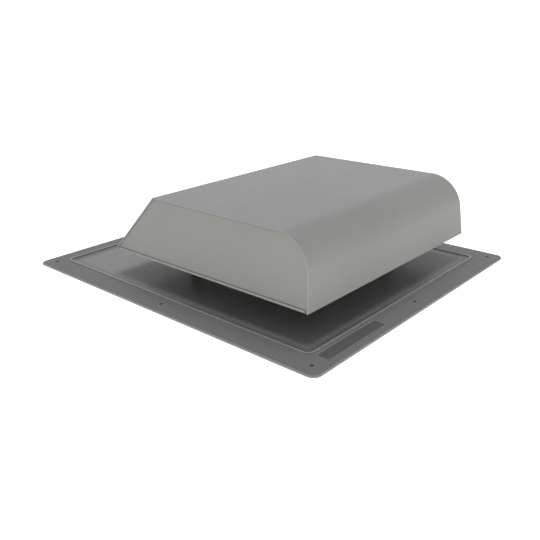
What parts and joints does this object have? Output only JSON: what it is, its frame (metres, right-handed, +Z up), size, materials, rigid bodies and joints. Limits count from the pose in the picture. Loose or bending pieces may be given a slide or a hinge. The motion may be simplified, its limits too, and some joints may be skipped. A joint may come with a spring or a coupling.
{
  "type": "roof louver",
  "caption": "Slant-back static roof louver: a sheet-metal hood with a rounded nose, held over a round screened throat on a beaded flashing with nail holes.",
  "frame": {"origin": "middle of the flashing's outline, on the roof plane under its turned-down rim", "axes": "+Z up from the roof, -Y down the roof towards the hood's nose, +Y up the roof towards its slanted back, +X to the right when looking along +Y"},
  "size_m": [0.4, 0.456, 0.1095],
  "materials": {
    "hood_paint": "satin warm grey paint",
    "flashing_paint": "dark grey paint, grained on the flange and smooth inside the bead",
    "strip_paint": "dark grey paint with faint scuffs along the strip",
    "rivet_metal": "satin",
    "screen_wire": "drawn wire"
  },
  "bodies": {
    "root": {"base_flashing": "flashing_paint", "hood_wrap": "hood_paint", "side_panel_left": "hood_paint", "side_panel_right": "hood_paint", "brace_front": "strip_paint", "brace_back": "strip_paint", "leg_front_left": "strip_paint", "leg_front_right": "strip_paint", "leg_back_left": "strip_paint", "leg_back_right": "strip_paint", "base_rivets": "rivet_metal", "insect_screen": "screen_wire", "screen_ring": "strip_paint"}
  },
  "joints": []
}
